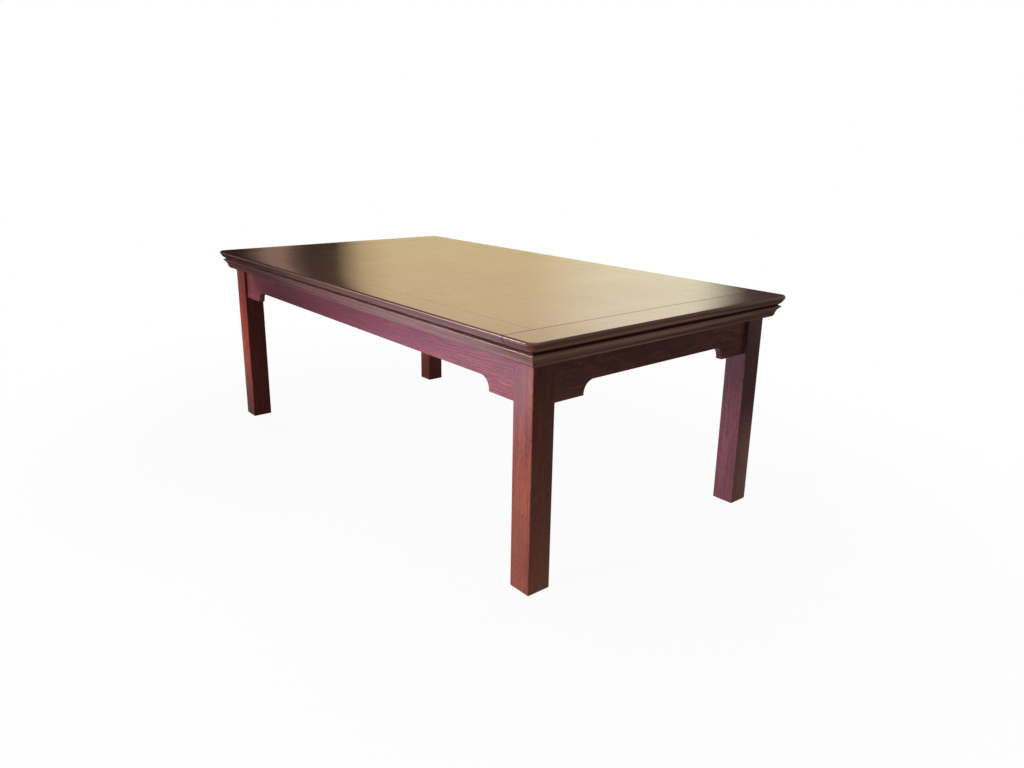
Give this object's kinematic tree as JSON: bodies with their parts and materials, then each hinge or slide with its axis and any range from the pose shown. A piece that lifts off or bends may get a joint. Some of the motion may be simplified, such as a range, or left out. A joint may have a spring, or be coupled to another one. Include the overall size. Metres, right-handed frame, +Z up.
{
  "type": "dining table",
  "caption": "Rectangular wooden dining table with an end-boarded top, a coved cornice moulding under its edge, aprons with bracket-shaped ends, and straight square legs.",
  "frame": {"origin": "on the floor under the middle of the table", "axes": "+X along the length of the top, to the right end seen from the front; +Y from the front long side to the back; +Z up"},
  "size_m": [2.134, 1.168, 0.76],
  "materials": {
    "top_wood": "dark reddish-brown stain under satin-gloss lacquer, grain along each board",
    "frame_wood": "dark red-mahogany stain on open-grained hardwood under satin lacquer",
    "cornice_wood": "dark red-mahogany stain under satin-gloss lacquer, grain along the moulding",
    "inner_wood": "plain unstained hardwood, planed",
    "zinc_steel": "bright zinc plate",
    "glide_plastic": "brown moulded plastic"
  },
  "bodies": {
    "root": {"top_field": "top_wood", "top_side_front": "top_wood", "top_side_back": "top_wood", "top_end_left": "top_wood", "top_end_right": "top_wood", "tongue_front": "inner_wood", "tongue_back": "inner_wood", "tongue_left": "inner_wood", "tongue_right": "inner_wood", "end_pins": "inner_wood", "cornice_front": "cornice_wood", "cornice_back": "cornice_wood", "cornice_left": "cornice_wood", "cornice_right": "cornice_wood", "cornice_screws": "zinc_steel", "apron_front": "frame_wood", "apron_back": "frame_wood", "apron_left": "frame_wood", "apron_right": "frame_wood", "leg_front_left": "frame_wood", "leg_front_right": "frame_wood", "leg_back_left": "frame_wood", "leg_back_right": "frame_wood", "corner_block_front_left": "inner_wood", "corner_block_front_right": "inner_wood", "corner_block_back_left": "inner_wood", "corner_block_back_right": "inner_wood", "corner_bolts": "zinc_steel", "bolt_washers": "zinc_steel", "bolt_nuts": "zinc_steel", "block_screws": "zinc_steel", "bearer_left": "inner_wood", "bearer_middle": "inner_wood", "bearer_right": "inner_wood", "bearer_screws": "zinc_steel", "table_buttons": "inner_wood", "button_screws": "zinc_steel", "glide_front_left": "glide_plastic", "glide_front_right": "glide_plastic", "glide_back_left": "glide_plastic", "glide_back_right": "glide_plastic"}
  },
  "joints": []
}
